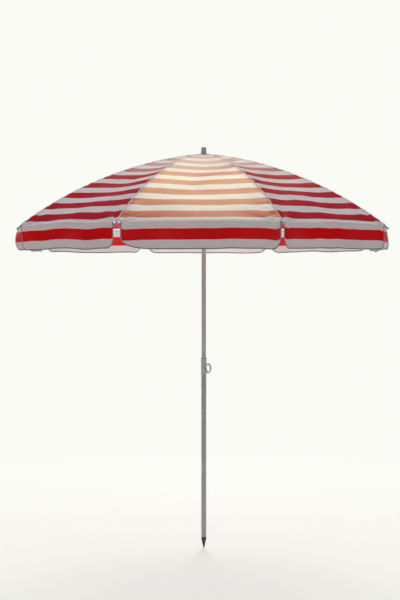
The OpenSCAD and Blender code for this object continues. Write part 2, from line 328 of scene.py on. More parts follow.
FLOAT, VECTOR = "NodeSocketFloat", "NodeSocketVector"

# %% [markdown]
# ## Effects that several finishes share
# The stripes, the weave, the uneven dye, the dust and the scuffs are used by more than one
# material, so each is a node group with named inputs. Stripes could be painted on an image, but a
# formula stays sharp at any distance: the distance from the hem, wrapped at the repeat of the
# print, is red while it is shorter than the red band.

# %% Group: printed stripes
def make_stripes():
    group, given, made = new_group(
        "printed stripes",
        [("Cloth", VECTOR, (0, 0, 0)), ("First edge", FLOAT, 0.0), ("Band", FLOAT, 0.05),
         ("Repeat", FLOAT, 0.1)],
        [("Mask", FLOAT)])
    wobble = add_node(group, "ShaderNodeTexNoise", {"Vector": given["Cloth"], "Scale": 26.0})
    place = add_node(group, "ShaderNodeSeparateXYZ", {0: given["Cloth"]}).outputs["Y"]
    place = calc(group, "ADD", place, calc(group, "MULTIPLY", wobble.outputs[0], 0.0016))
    turns = calc(group, "DIVIDE", calc(group, "SUBTRACT", place, given["First edge"]),
                 given["Repeat"])
    inside = calc(group, "MULTIPLY", calc(group, "FRACT", turns), given["Repeat"])
    softness = 0.0007
    rise = calc(group, "DIVIDE", inside, softness, clamp=True)
    fall = calc(group, "DIVIDE", calc(group, "SUBTRACT", given["Band"], inside), softness,
                clamp=True)
    group.links.new(calc(group, "MULTIPLY", rise, fall), made["Mask"])
    return group


# %% Group: satin weave
def make_weave():
    group, given, made = new_group(
        "satin weave", [("Cloth", VECTOR, (0, 0, 0)), ("Pitch", FLOAT, 0.0006)],
        [("Height", FLOAT), ("Float", FLOAT)])
    part = add_node(group, "ShaderNodeSeparateXYZ", {0: given["Cloth"]}).outputs
    turn = calc(group, "DIVIDE", math.tau, given["Pitch"])
    warp = calc(group, "SINE", calc(group, "MULTIPLY", part["X"], turn))
    weft = calc(group, "SINE", calc(group, "MULTIPLY", part["Y"], turn))
    # four threads are passed over before one is tied down, which gives satin its gloss
    step = calc(group, "ADD", calc(group, "MULTIPLY", part["X"], turn),
                calc(group, "MULTIPLY", calc(group, "MULTIPLY", part["Y"], turn), 0.4))
    tie = calc(group, "SINE", calc(group, "MULTIPLY", step, 0.2))
    height = calc(group, "ADD", calc(group, "MULTIPLY", warp, 0.5),
                  calc(group, "MULTIPLY", calc(group, "MULTIPLY", weft, tie), 0.5))
    group.links.new(height, made["Height"])
    group.links.new(calc(group, "MULTIPLY_ADD", tie, 0.5, 0.5), made["Float"])
    return group


# %% Group: uneven dye
def make_dye():
    group, given, made = new_group(
        "uneven dye", [("Cloth", VECTOR, (0, 0, 0)), ("Amount", FLOAT, 0.1)], [("Shade", FLOAT)])
    patches = add_node(group, "ShaderNodeTexNoise",
                       {"Vector": given["Cloth"], "Scale": 7.0, "Detail": 3.0})
    long_way = add_node(group, "ShaderNodeMapping",
                        {"Vector": given["Cloth"], "Scale": (3.0, 420.0, 1.0)})
    streaks = add_node(group, "ShaderNodeTexNoise", {"Vector": long_way.outputs[0], "Scale": 1.0})
    both = calc(group, "ADD", calc(group, "MULTIPLY", patches.outputs[0], 1.3),
                calc(group, "MULTIPLY", streaks.outputs[0], 0.7))
    swing = calc(group, "MULTIPLY", calc(group, "SUBTRACT", both, 1.0), given["Amount"])
    group.links.new(calc(group, "ADD", 1.0, swing), made["Shade"])
    return group


# %% Group: dust and scuffs
def make_dust():
    group, given, made = new_group(
        "dust", [("Place", VECTOR, (0, 0, 0)), ("Scale", FLOAT, 40.0), ("Cover", FLOAT, 0.3)],
        [("Mask", FLOAT)])
    grains = add_node(group, "ShaderNodeTexNoise",
                      {"Vector": given["Place"], "Scale": given["Scale"], "Detail": 5.0,
                       "Roughness": 0.65})
    low = calc(group, "SUBTRACT", 0.78, given["Cover"])
    mask = add_node(group, "ShaderNodeMapRange",
                    {"Value": grains.outputs[0], "From Min": low,
                     "From Max": calc(group, "ADD", low, 0.25)})
    group.links.new(mask.outputs[0], made["Mask"])
    return group


def make_scuffs():
    group, given, made = new_group(
        "scuffs", [("Place", VECTOR, (0, 0, 0)), ("Length", FLOAT, 0.05), ("Cover", FLOAT, 0.2)],
        [("Mask", FLOAT), ("Height", FLOAT)])
    squeeze = calc(group, "DIVIDE", 1.0, given["Length"])
    stretch = add_node(group, "ShaderNodeCombineXYZ", {"X": 900.0, "Y": 900.0, "Z": squeeze})
    place = add_node(group, "ShaderNodeVectorMath",
                     {0: given["Place"], 1: stretch.outputs[0]}, operation="MULTIPLY")
    lines = add_node(group, "ShaderNodeTexNoise",
                     {"Vector": place.outputs[0], "Scale": 1.0, "Detail": 3.0})
    patches = add_node(group, "ShaderNodeTexNoise", {"Vector": given["Place"], "Scale": 9.0})
    level = calc(group, "ADD", calc(group, "MULTIPLY", lines.outputs[0], 0.6),
                 calc(group, "MULTIPLY", patches.outputs[0], 0.4))
    low = calc(group, "SUBTRACT", 0.72, given["Cover"])
    mask = add_node(group, "ShaderNodeMapRange",
                    {"Value": level, "From Min": low, "From Max": calc(group, "ADD", low, 0.08)})
    group.links.new(mask.outputs[0], made["Mask"])
    group.links.new(lines.outputs[0], made["Height"])
    return group


STRIPES, WEAVE, DYE = make_stripes(), make_weave(), make_dye()
DUST, SCUFFS = make_dust(), make_scuffs()
print("shader groups:", [group.name for group in (STRIPES, WEAVE, DYE, DUST, SCUFFS)])

# %% [markdown]
# ## The cloth
# The canopy is a thin satin polyester, printed red on white. It does two things at once: it
# shines where the sun glances off it, and it glows where the sun stands behind it. So the
# material mixes a Principled shader, for colour and gloss, with a Translucent one. The print is
# the same on both, and the stripes' places differ between the canopy and the valance. The
# canopy's red is also painted paler towards the crown, a painted highlight for the sun's glare
# there, and the valance's white is painted darker, a painted shade for the flaps hanging in the
# canopy's shade.

# %% Materials: striped cloth
WHITE = (0.80, 0.775, 0.79, 1)
# painted shade: the valance's white is darker than the canopy's, for the flaps hanging in the
# canopy's shade
SHADED_VALANCE_WHITE = (0.70, 0.665, 0.675, 1)
STRIPE_REPEAT = 0.1015
STRIPE_BAND = 0.0535
HEM_WHITE = 0.0285
# painted highlight: the red is painted paler towards the crown, standing in for the sun's glare
# there
GLARE_PALE_RED = (0.62, 0.42, 0.42, 1)
GLARE_FROM, GLARE_TO = 0.44, 0.66


def make_cloth(name, white, red, first_edge, band, repeat, through, crown_glare):
    material, tree, shader = new_material(name)
    flat = add_node(tree, "ShaderNodeAttribute", attribute_name="flat").outputs["Vector"]
    stripe = use_group(tree, STRIPES, Cloth=flat, First_edge=first_edge, Band=band,
                       Repeat=repeat)["Mask"]
    weave = use_group(tree, WEAVE, Cloth=flat, Pitch=0.0007)
    shade = use_group(tree, DYE, Cloth=flat, Amount=0.16)["Shade"]
    dust = use_group(tree, DUST, Place=flat, Scale=11.0, Cover=0.22)["Mask"]
    up = add_node(tree, "ShaderNodeSeparateXYZ", {0: flat}).outputs["Y"]
    # painted highlight: up the gore the red is mixed towards a pale pink, for the sun's glare on
    # the crown
    glare_share = add_node(tree, "ShaderNodeMapRange",
                      {"Value": up, "From Min": GLARE_FROM, "From Max": GLARE_TO,
                       "To Max": crown_glare}, interpolation_type="SMOOTHSTEP")
    dye = mix_colour(tree, glare_share.outputs[0], red, GLARE_PALE_RED)
    print_colour = mix_colour(tree, stripe, white, dye)
    shaded = add_node(tree, "ShaderNodeHueSaturation", {"Value": shade, "Color": print_colour})
    colour = mix_colour(tree, calc(tree, "MULTIPLY", dust, 0.015), shaded.outputs[0],
                        (0.42, 0.36, 0.31, 1))
    put(tree, shader.inputs["Base Color"], colour)
    rough = calc(tree, "MULTIPLY_ADD", weave["Float"], 0.05, 0.21)
    back = add_node(tree, "ShaderNodeNewGeometry").outputs["Backfacing"]
    rough = calc(tree, "ADD", rough, calc(tree, "MULTIPLY", back, 0.2))
    put(tree, shader.inputs["Roughness"], rough)
    shader.inputs["Specular IOR Level"].default_value = 0.6
    shader.inputs["Sheen Weight"].default_value = 0.01
    shader.inputs["Sheen Roughness"].default_value = 0.3
    relief = add_node(tree, "ShaderNodeBump", {"Height": weave["Height"], "Strength": 0.12,
                                               "Distance": 0.0002})
    put(tree, shader.inputs["Normal"], relief.outputs[0])
    glow = add_node(tree, "ShaderNodeBsdfTranslucent",
                    {"Color": mix_colour(tree, 0.25, colour, (1, 1, 1, 1), "SOFT_LIGHT")})
    both = add_node(tree, "ShaderNodeMixShader", {0: through, 1: shader.outputs[0],
                                                  2: glow.outputs[0]})
    end = next(n for n in tree.nodes if n.type == "OUTPUT_MATERIAL")
    put(tree, end.inputs["Surface"], both.outputs[0])
    return material


VALANCE_TOP = 0.0275
VALANCE_RED = 0.049
# painted highlight: the canopy is painted paler towards its crown, and the valance gets none
canopy_cloth = make_cloth("canopy_cloth", WHITE, (0.54, 0.0002, 0.032, 1), HEM_WHITE,
                          STRIPE_BAND, STRIPE_REPEAT, through=0.30, crown_glare=0.78)
# the valance takes the darker white, which is painted shade
valance_cloth = make_cloth("valance_cloth", SHADED_VALANCE_WHITE, (0.68, 0.0008, 0.005, 1), VALANCE_TOP,
                           VALANCE_RED, 1.0, through=0.36, crown_glare=0.0)
print("striped cloth:", canopy_cloth.name, "and", valance_cloth.name, "- repeat", STRIPE_REPEAT)

# %% [markdown]
# The bindings, seams and stitches are plain white or grey cloth and thread. They share the
# weave and the dye groups with the canopy, at a coarser pitch.

# %% Materials: binding tape and thread
def make_tape(name, colour, pitch, roughness):
    material, tree, shader = new_material(name)
    flat = add_node(tree, "ShaderNodeAttribute", attribute_name="flat").outputs["Vector"]
    weave = use_group(tree, WEAVE, Cloth=flat, Pitch=pitch)
    shade = use_group(tree, DYE, Cloth=flat, Amount=0.3)["Shade"]
    shaded = add_node(tree, "ShaderNodeHueSaturation", {"Value": shade, "Color": colour})
    put(tree, shader.inputs["Base Color"], shaded.outputs[0])
    put(tree, shader.inputs["Roughness"], calc(tree, "MULTIPLY_ADD", shade, 0.12, roughness))
    shader.inputs["Sheen Weight"].default_value = 0.3
    relief = add_node(tree, "ShaderNodeBump", {"Height": weave["Height"], "Strength": 0.3,
                                               "Distance": 0.0003})
    put(tree, shader.inputs["Normal"], relief.outputs[0])
    return material


white_tape = make_tape("white_tape", (0.88, 0.80, 0.82, 1), 0.0011, 0.4)
grey_tape = make_tape("grey_tape", (0.22, 0.2, 0.215, 1), 0.0011, 0.5)
thread = make_tape("thread", (0.72, 0.66, 0.66, 1), 0.0005, 0.45)
print("plain cloth:", white_tape.name, grey_tape.name, thread.name)

# %% [markdown]
# ## Cutting the gores
# Each gore is a sheet on a fine grid. The columns lie closer together towards the seams, where
# the puckers are. The distance down the cloth is added up along the middle of the gore, so the
# stripes keep their true width on the slope.

# %% Rows of a gore
ROWS, COLUMNS = 150, 44


def gore_rows():
    """(radius, distance from the hem along the middle) for each row, from crown to hem."""
    first, last = slope_at(CROWN_HOLE), slope_at(HEM_R)
    radii = [(math.sin(first + (last - first) * i / ROWS) - math.sin(CROWN_SLOPE)) * ARC_R
             for i in range(ROWS + 1)]
    run = [0.0]
    for near, far in zip(radii, radii[1:]):
        out = (far - near) * math.cos(HALF_STEP)
        run.append(run[-1] + math.hypot(out, drop_at(far) - drop_at(near)))
    return [(radius, run[-1] - length) for radius, length in zip(radii, run)]


GORE_ROWS = gore_rows()
GORE_WIDTH = 2 * HEM_R * math.sin(HALF_STEP)

# %% Gore cloth
def column_v(j):
    return math.sin(math.pi / 2 * (2 * j / COLUMNS - 1))


def cut_gore(k):
    sewing = Sewing()
    points, flat = [], []
    for radius, from_hem in GORE_ROWS:
        for j in range(COLUMNS + 1):
            v = column_v(j)
            points.append(cloth_point(k, radius, v))
            flat.append((v * radius * math.sin(HALF_STEP) + 2.0 * k, from_hem, 0.0))
    sewing.add(points, grid_faces(ROWS, COLUMNS), flat)
    return sewing.piece(f"gore_cloth_{k}", [canopy_cloth])


gores = {k: cut_gore(k) for k in range(1, RIBS + 1)}
print("cut", len(gores), "gores of", ROWS * COLUMNS, "faces each")

# %% [markdown]
# ## Sewing the gores
# Two gores meet over each rib in a felled seam, a flat ridge with a row of stitches on each side.
# The hem is turned over and stitched, the crown has a reinforcing patch under the cap, and each
# corner has one too, because the rib's end pulls there. All of it lies on the cloth's own
# surface, and it folds with its gore.

# %% Lines along a gore
SEAM_WIDTH = 0.0028
SEAM_THICK = 0.0012
HEM_WIDTH = 0.013
HEM_THICK = 0.0010


def seam_stations(k, side, inset=0.0, step=3):
    """Stations along one seam of gore k, as far inside the edge as inset says."""
    stations = []
    for radius, _ in GORE_ROWS[2::step]:
        v = side * (1 - inset / (radius * math.sin(HALF_STEP)))
        point, across, down, up = cloth_frame(k, radius, max(-1.0, min(1.0, v)))
        stations.append((point, across * -side, up))
    return stations


def hem_stations(k, back=0.0, columns=72):
    stations = []
    for j in range(columns + 1):
        v = 2 * j / columns - 1
        point, across, down, up = cloth_frame(k, HEM_R - back, v)
        stations.append((point, down * -1, up))
    return stations


print("stations along a seam:", len(seam_stations(1, 1)), "and along a hem:", len(hem_stations(1)))

# %% Doubled patches
PATCH_R = 0.040         # of the crown's patch
CORNER_PATCH = 0.020
PATCH_THICK = 0.0009


def patch(sewing, k, places, rows, columns, thick, finish):
    """A doubled piece of cloth: a grid of (radius, v) raised off the gore, with its rim."""
    grid = [[places(i / rows, j / columns) for j in range(columns + 1)] for i in range(rows + 1)]
    flat = [(v * radius * math.sin(HALF_STEP), radius, 0.0) for line in grid for radius, v in line]
    count = len(flat)
    points = [cloth_point(k, r, v, lift) for lift in (thick, 0.0) for line in grid
              for r, v in line]
    top = grid_faces(rows, columns)
    bottom = [tuple(count + n for n in reversed(face)) for face in top]
    rim = ([j for j in range(columns)] + [i * (columns + 1) + columns for i in range(rows)]
           + [rows * (columns + 1) + j for j in range(columns, 0, -1)]
           + [i * (columns + 1) for i in range(rows, 0, -1)])
    edge = [(b, a, a + count, b + count) for a, b in zip(rim, rim[1:] + rim[:1])]
    sewing.add(points, top + bottom + edge, flat * 2, finish)


# %% Gore trim
def sew_gore(k):
    sewing = Sewing()
    for side in (-1, 1):
        strip(sewing, seam_stations(k, side), flat_band(SEAM_WIDTH, SEAM_THICK))
        stitch_row(sewing, seam_stations(k, side, SEAM_WIDTH * 0.6), 1, SEAM_THICK)
        stitch_row(sewing, seam_stations(k, side, SEAM_WIDTH + STITCH_INSET), 1, ON_CLOTH)
        at_hem = HEM_R - 0.001

        def corner(i, j, side=side):
            radius = at_hem - CORNER_PATCH * (1 - i)
            wide = CORNER_PATCH * (0.25 + 0.75 * i) / (radius * math.sin(HALF_STEP))
            return radius, side * (1 - wide * (1 - j)) if side > 0 else -(1 - wide * j)
        patch(sewing, k, corner, 6, 6, PATCH_THICK, 0)
    strip(sewing, hem_stations(k), flat_band(HEM_WIDTH, HEM_THICK))
    stitch_row(sewing, hem_stations(k, HEM_WIDTH - STITCH_INSET), 1, HEM_THICK)

    def crown(i, j):
        return CROWN_HOLE + 0.001 + (PATCH_R - CROWN_HOLE) * i, 2 * j - 1
    patch(sewing, k, crown, 6, 8, PATCH_THICK, 0)
    return sewing.piece(f"gore_trim_{k}", [white_tape, thread])


gore_trims = {k: sew_gore(k) for k in range(1, RIBS + 1)}
print("stitches and seams:", sum(len(t.data.polygons) for t in gore_trims.values()), "faces")

# %% [markdown]
# ## The valance
# Eight flaps hang from the hem, each a little shorter than its gore, so a wedge of light shows
# between two flaps at every rib. A flap hangs almost straight, with a slow wave in it, a slight
# flare at its lower edge and corners that turn inwards. The lower corners are round, and a grey
# tape binds the sides and the lower edge.

# %% The flaps' outline
FLAP_HEIGHT = 0.114
FLAP_INSET = 0.015
CORNER_ACROSS = 0.045
CORNER_UP = 0.042
FLAP_HALF = GORE_WIDTH / 2 - FLAP_INSET
HEM_APOTHEM = HEM_R * math.cos(HALF_STEP)
# the front flap's left corner is cut longer, and its ends stand a little closer to the ribs
LONG_CORNER = {(8, -1): (0.15, 0.05)}
# how much longer or shorter than the others each of these flaps is cut
CUT_LONGER = {8: 0.005}
# how far each of these ends reaches, against the others: (flap, side): share
END_REACH = {(8, 1): 1.027, (1, -1): 1.021, (8, -1): 0.991, (7, 1): 0.988}
# where a flap's end curls outwards: (flap, side): (at mid-height, at the lower edge)
CURLED = {(6, 1): (0.015, 0.003), (2, -1): (0.002, 0.014), (5, -1): (0.004, 0.010)}


def flap_bottom(k, x):
    """How far down the flap reaches at x, with its round corners."""
    across, rise = LONG_CORNER.get((k, 1 if x > 0 else -1), (CORNER_ACROSS, CORNER_UP))
    past = abs(x) - (FLAP_HALF - across)
    height = FLAP_HEIGHT + CUT_LONGER.get(k, 0.0)
    if past <= 0:
        return height
    return height - rise * (1 - math.sqrt(max(0.0, 1 - (past / across) ** 2)))


print("a flap is", round(flap_bottom(3, 0.0), 3), "deep, and", round(flap_bottom(3, FLAP_HALF), 3),
      "at its end")

# %% How the flaps hang
LONG_WAVE, SHORT_WAVE, UNEVEN = 0.0052, 0.0028, 0.003    # heights of the waves
FLARE = 0.003              # how far the lower edge stands out
OFF_HEM = 0.0012           # the flap hangs this far outside the hem's line
CURL_REACH = 0.09          # how far from its end a flap still curls
TURN_IN, TURN_REACH = 0.006, 0.045    # the other corners turn inwards


def flap_out(k, x, y):
    """How far the flap stands out from the plane below the hem."""
    down = y / FLAP_HEIGHT
    wave = LONG_WAVE * math.sin(math.tau * x / 0.41 + 2.4 * k)
    wave += SHORT_WAVE * math.sin(math.tau * x / 0.17 + 1.3 * k)
    wave += UNEVEN * noise.noise(Vector((x / 0.09, k * 3.7, y / 0.12)))
    from_end = FLAP_HALF - abs(x)
    middle, low = CURLED.get((k, 1 if x > 0 else -1), (0.0, 0.0))
    bulge = middle * math.sin(math.pi * min(1.0, down)) + low * down
    turned = TURN_IN * math.exp(-from_end / TURN_REACH) * down * (middle == 0)
    curl = bulge * math.exp(-from_end / CURL_REACH) - turned
    return OFF_HEM + FLARE * down + wave * down ** 1.4 + curl


def flap_point(k, x, y, raise_by=0.0):
    heading = gore_heading(k)
    out = HEM_APOTHEM + flap_out(k, x, y) + raise_by
    x *= END_REACH.get((k, 1 if x > 0 else -1), 1.0)
    top = cloth_point(k, HEM_R, x / (GORE_WIDTH / 2)).z - 0.0008
    return Vector((
        out * math.cos(heading) - x * math.sin(heading),
        out * math.sin(heading) + x * math.cos(heading), top - y))


# %% Flap cloth
FLAP_ROWS, FLAP_COLUMNS = 26, 120
# the print is never quite at the same height on two flaps
PRINT_SHIFT = {8: 0.003, 7: -0.003, 1: -0.003, 2: 0.002, 4: -0.002}


def cut_flap(k):
    sewing = Sewing()
    points, flat = [], []
    for i in range(FLAP_ROWS + 1):
        for j in range(FLAP_COLUMNS + 1):
            x = FLAP_HALF * math.sin(math.pi / 2 * (2 * j / FLAP_COLUMNS - 1))
            y = flap_bottom(k, x) * i / FLAP_ROWS
            points.append(flap_point(k, x, y))
            flat.append((x + 2.0 * k, y - PRINT_SHIFT.get(k, 0.0), 1.0))
    faces = [tuple(reversed(face)) for face in grid_faces(FLAP_ROWS, FLAP_COLUMNS)]
    sewing.add(points, faces, flat)
    return sewing.piece(f"flap_cloth_{k}", [valance_cloth])


flaps = {k: cut_flap(k) for k in range(1, RIBS + 1)}
print("flap: width", round(2 * FLAP_HALF, 3), "height", FLAP_HEIGHT)

# %% Round a flap's free edge
TAPE_WIDTH = 0.0045
TAPE_THICK = 0.0016


def flap_edge(k):
    """Points (x, y) round the flap's free edge, from one end of the hem to the other."""
    sides = 14
    rest = [(-FLAP_HALF, flap_bottom(k, -FLAP_HALF) * n / sides) for n in range(sides)]
    count = 160
    for n in range(count + 1):
        x = FLAP_HALF * math.sin(math.pi / 2 * (2 * n / count - 1))
        rest.append((x, flap_bottom(k, x)))
    last = flap_bottom(k, FLAP_HALF)
    return rest + [(FLAP_HALF, last * (sides - n) / sides) for n in range(1, sides + 1)]


def edge_stations(k, inset=0.0, lift=0.0):
    line = flap_edge(k)
    heading = gore_heading(k)
    out = Vector((math.cos(heading), math.sin(heading), 0))
    stations = []
    for n, (x, y) in enumerate(line):
        ahead, behind = line[min(n + 1, len(line) - 1)], line[max(n - 1, 0)]
        run = Vector((ahead[0] - behind[0], ahead[1] - behind[1])).normalized()
        inward = Vector((run.y, -run.x))
        point = flap_point(k, x + inward.x * inset, max(0.0, y + inward.y * inset), lift)
        beside = flap_point(k, x + inward.x * 0.004, max(0.0, y + inward.y * 0.004), lift)
        stations.append((point, (beside - flap_point(k, x, y, lift)).normalized(), out))
    return stations


print("stations round a flap:", len(edge_stations(1)))

# %% Flap binding and stitches
def bind_flap(k):
    sewing = Sewing()
    profile = [(a, b - TAPE_THICK / 2) for a, b in flat_band(TAPE_WIDTH, TAPE_THICK)]
    strip(sewing, edge_stations(k), profile)
    stitch_row(sewing, edge_stations(k, TAPE_WIDTH * 0.75, TAPE_THICK / 2), 1)
    top = []
    for n in range(61):
        x = FLAP_HALF * (2 * n / 60 - 1)
        heading = gore_heading(k)
        point = flap_point(k, x, 0.006, ON_CLOTH)
        top.append((point, Vector((0, 0, 1)), Vector((math.cos(heading), math.sin(heading), 0))))
    stitch_row(sewing, top, 1)
    return sewing.piece(f"flap_binding_{k}", [grey_tape, thread])


bindings = {k: bind_flap(k) for k in range(1, RIBS + 1)}
print("bound", len(bindings), "flaps with tape", TAPE_WIDTH * 1000, "mm wide")

# %% [markdown]
# ## Ties under the canopy
# From below one sees how the cloth is held: a loop of tape round each rib, sewn to the seam above
# it, at three places. Each loop is a thin band swept round an oval that holds the rib and reaches
# up to the cloth. It rides on its rib.

# %% Where the ribs lie
TIE_WIDTH = 0.014
TIE_THICK = 0.0007
TIE_PLACES = (0.27, 0.62, 0.80)    # distances from the pole
RIB_WIRE_R = 0.00225


def rib_place(k, radius):
    """The middle of rib k's wire at a radius, its outward direction and its tangent."""
    heading = gore_heading(k) - HALF_STEP
    out = Vector((math.cos(heading), math.sin(heading), 0))
    pin = joint_place("fold" if k == 1 else f"rib_{k}_fold")
    below = APEX_Z - drop_at(pin.xy.length) - pin.z
    slope = slope_at(radius)
    tangent = out * math.cos(slope) + Vector((0, 0, -math.sin(slope)))
    return out * radius + Vector((0, 0, APEX_Z - drop_at(radius) - below)), tangent, below


print("the ribs lie", round(rib_place(1, 0.5)[2] * 1000, 1), "mm below the cloth's arc")

# %% Rib ties
def make_ties(k):
    sewing = Sewing()
    for radius in TIE_PLACES:
        wire, tangent, below = rib_place(k, radius)
        across = Vector((0, 0, 1)).cross(tangent).normalized()
        up = tangent.cross(across).normalized()
        if up.z < 0:
            up = -up
        low, high = -RIB_WIRE_R - 0.0008, below * math.cos(slope_at(radius)) - PUCKER - 0.0012
        middle, tall, wide = up * (high + low) / 2, (high - low) / 2, RIB_WIRE_R + 0.0012
        sides = 28
        points, flat = [], []
        for a in (-0.5, 0.5):
            for thick in (0.0, TIE_THICK):
                for n in range(sides):
                    turn = math.tau * n / sides
                    ring = (across * math.cos(turn) * (wide + thick)
                            + up * math.sin(turn) * (tall + thick))
                    points.append(wire + middle + ring + tangent * a * TIE_WIDTH)
                    flat.append((n / sides * 0.04, a * TIE_WIDTH, 0))

        def at(end, skin, n):
            return (end * 2 + skin) * sides + n % sides
        faces = []
        for n in range(sides):
            faces.append((at(0, 1, n), at(0, 1, n + 1), at(1, 1, n + 1), at(1, 1, n)))
            faces.append((at(0, 0, n + 1), at(0, 0, n), at(1, 0, n), at(1, 0, n + 1)))
            faces.append((at(0, 0, n), at(0, 0, n + 1), at(0, 1, n + 1), at(0, 1, n)))
            faces.append((at(1, 0, n + 1), at(1, 0, n), at(1, 1, n), at(1, 1, n + 1)))
        sewing.add(points, faces, flat)
    return sewing.piece(f"rib_ties_{k}", [white_tape])


ties = {k: make_ties(k) for k in range(1, RIBS + 1)}
print("ties:", len(ties), "ribs with three loops each")

# %% [markdown]
# ## Metals and plastics
# The hard parts keep their own shapes and get new finishes. The pole is steel with a thin satin
# enamel that is scuffed lengthwise where hands and the clamp slide. The screws, pins and clips
# are zinc plated, and the crown, the runner and the caps are moulded plastic with a fine grain.

# %% Materials: enamelled steel
def object_place(tree):
    return add_node(tree, "ShaderNodeTexCoord").outputs["Object"]


def make_enamel(name, colour, bare, cover, roughness):
    material, tree, shader = new_material(name)
    place = object_place(tree)
    scuff = use_group(tree, SCUFFS, Place=place, Length=0.09, Cover=cover)
    dust = use_group(tree, DUST, Place=place, Scale=60.0, Cover=0.2)["Mask"]
    worn = mix_colour(tree, calc(tree, "MULTIPLY", scuff["Mask"], 0.55), colour, bare)
    dusty = mix_colour(tree, calc(tree, "MULTIPLY", dust, 0.2), worn, (0.36, 0.33, 0.29, 1))
    put(tree, shader.inputs["Base Color"], dusty)
    rough = calc(tree, "ADD", roughness, calc(tree, "MULTIPLY", dust, 0.25))
    put(tree, shader.inputs["Roughness"],
        calc(tree, "SUBTRACT", rough, calc(tree, "MULTIPLY", scuff["Mask"], 0.08)))
    put(tree, shader.inputs["Metallic"], calc(tree, "MULTIPLY_ADD", scuff["Mask"], 0.4, 0.1))
    shader.inputs["Coat Roughness"].default_value = 0.2
    relief = add_node(tree, "ShaderNodeBump", {"Height": scuff["Height"], "Strength": 0.15,
                                               "Distance": 0.0003})
    put(tree, shader.inputs["Normal"], relief.outputs[0])
    return material


pole_steel = make_enamel("pole_enamel", (0.58, 0.60, 0.59, 1), (0.7, 0.7, 0.69, 1), 0.16, 0.34)
lower_steel = make_enamel("lower_enamel", (0.42, 0.46, 0.46, 1), (0.62, 0.63, 0.62, 1), 0.2, 0.36)
rib_wire = make_enamel("rib_enamel", (0.2, 0.2, 0.21, 1), (0.5, 0.5, 0.5, 1), 0.14, 0.4)
print("enamels:", pole_steel.name, lower_steel.name, rib_wire.name)

# %% Material: zinc plate
def make_zinc(name, colour, roughness):
    material, tree, shader = new_material(name)
    place = object_place(tree)
    spangle = add_node(tree, "ShaderNodeTexVoronoi", {"Vector": place, "Scale": 420.0})
    dust = use_group(tree, DUST, Place=place, Scale=220.0, Cover=0.26)["Mask"]
    tone = calc(tree, "MULTIPLY_ADD", spangle.outputs["Distance"], 0.5, 0.8)
    toned = add_node(tree, "ShaderNodeHueSaturation", {"Value": tone, "Color": colour})
    put(tree, shader.inputs["Base Color"],
        mix_colour(tree, calc(tree, "MULTIPLY", dust, 0.35), toned.outputs[0],
                   (0.30, 0.28, 0.26, 1)))
    put(tree, shader.inputs["Roughness"], calc(tree, "MULTIPLY_ADD", dust, 0.3, roughness))
    shader.inputs["Metallic"].default_value = 0.45
    relief = add_node(tree, "ShaderNodeBump", {"Height": spangle.outputs["Distance"],
                                               "Strength": 0.1, "Distance": 0.0004})
    put(tree, shader.inputs["Normal"], relief.outputs[0])
    return material


zinc = make_zinc("zinc_plate", (0.62, 0.62, 0.64, 1), 0.28)
print("plating:", zinc.name)

# %% Materials: plastics
def make_plastic(name, colour, worn_colour, roughness, grain):
    material, tree, shader = new_material(name)
    place = object_place(tree)
    dust = use_group(tree, DUST, Place=place, Scale=90.0, Cover=0.3)["Mask"]
    scuff = use_group(tree, SCUFFS, Place=place, Length=0.02, Cover=0.12)["Mask"]
    worn = mix_colour(tree, calc(tree, "MULTIPLY", scuff, 0.5), colour, worn_colour)
    put(tree, shader.inputs["Base Color"],
        mix_colour(tree, calc(tree, "MULTIPLY", dust, 0.25), worn, (0.40, 0.36, 0.30, 1)))
    put(tree, shader.inputs["Roughness"], calc(tree, "MULTIPLY_ADD", dust, 0.22, roughness))
    bumps = add_node(tree, "ShaderNodeTexNoise", {"Vector": place, "Scale": 900.0, "Detail": 2.0})
    relief = add_node(tree, "ShaderNodeBump", {"Height": bumps.outputs[0], "Strength": grain,
                                               "Distance": 0.0003})
    put(tree, shader.inputs["Normal"], relief.outputs[0])
    return material


PLASTICS = {
    "dark_plastic": ((0.045, 0.045, 0.048, 1), (0.12, 0.12, 0.12, 1), 0.5, 0.3),
    "cap_plastic": ((0.50, 0.50, 0.485, 1), (0.6, 0.6, 0.6, 1), 0.4, 0.15),
    "knob_plastic": ((0.02, 0.02, 0.022, 1), (0.1, 0.1, 0.1, 1), 0.42, 0.3),
    "tip_plastic": ((0.27, 0.27, 0.285, 1), (0.45, 0.45, 0.45, 1), 0.4, 0.15)}
plastic = {name: make_plastic(name, *values) for name, values in PLASTICS.items()}
print("plastics:", list(plastic))

# %% Finish the hard parts
FINISHES = {
    "lower_pole": lower_steel, "upper_pole": pole_steel, "pole_collar": zinc, "eye_screw": zinc,
    "crown_pins": zinc, "crown_rivet": zinc, "runner_pins": zinc,
    "ground_point": plastic["dark_plastic"], "crown_hub": plastic["dark_plastic"],
    "runner": plastic["dark_plastic"], "top_cap": plastic["cap_plastic"],
    "runner_knob": plastic["knob_plastic"]}
for k in range(1, RIBS + 1):
    FINISHES[f"rib_{k}"] = rib_wire
    FINISHES[f"stretcher_{k}"] = rib_wire
    FINISHES[f"rib_tip_{k}"] = plastic["tip_plastic"]
    FINISHES[f"rib_clip_{k}"] = zinc

for node_name, material in FINISHES.items():
    hard = frame["nodes"][node_name]
    if not hard.material_slots:
        hard.data.materials.append(material)
    for material_slot in hard.material_slots:
        material_slot.material = material
print("finished", len(FINISHES), "hard parts")

# %% [markdown]
# ## Riding the cloth
# The gores and flaps ride on their own bodies, each with its own copy of its mesh, and the frame's
# own gores and flaps are hidden. When the umbrella closes, a gore swings down and its cloth would
# also have to narrow, because the ribs come together; here the cloth only rides and is not
# narrowed. The ties ride on their ribs.

